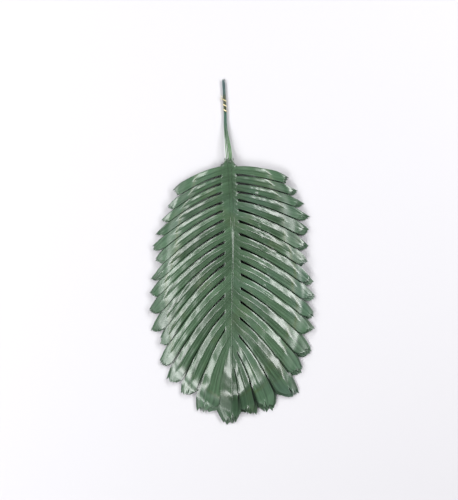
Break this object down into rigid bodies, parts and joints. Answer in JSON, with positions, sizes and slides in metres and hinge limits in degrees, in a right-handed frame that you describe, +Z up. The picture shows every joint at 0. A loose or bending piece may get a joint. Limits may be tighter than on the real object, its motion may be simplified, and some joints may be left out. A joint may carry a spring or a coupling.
{
  "type": "bundle of artificial feather palm leaves",
  "caption": "Tied bundle of pressed artificial feather palm leaves, nested face up, on wire stems held together by a gold twist tie.",
  "frame": {"origin": "on the surface the bundle lies on, under the middle of its box", "axes": "+Z up, away from the surface; +Y along the bundle towards the cut stem ends; +X to the right seen from above with the stems away from the viewer"},
  "size_m": [0.3401, 0.7012, 0.0389],
  "materials": {
    "blade_cloth": "green coated cloth, pressed, satin to glossy",
    "stem_plastic": "light green plastic over wire",
    "tie_foil": "gold foil strip"
  },
  "bodies": {
    "root": {"leaf_1_blade": "blade_cloth", "leaf_2_blade": "blade_cloth", "leaf_3_blade": "blade_cloth", "leaf_4_blade": "blade_cloth", "leaf_5_blade": "blade_cloth", "leaf_6_blade": "blade_cloth", "leaf_1_stem": "stem_plastic", "leaf_2_stem": "stem_plastic", "leaf_3_stem": "stem_plastic", "leaf_4_stem": "stem_plastic", "leaf_5_stem": "stem_plastic", "leaf_6_stem": "stem_plastic", "twist_tie": "tie_foil"}
  },
  "joints": []
}
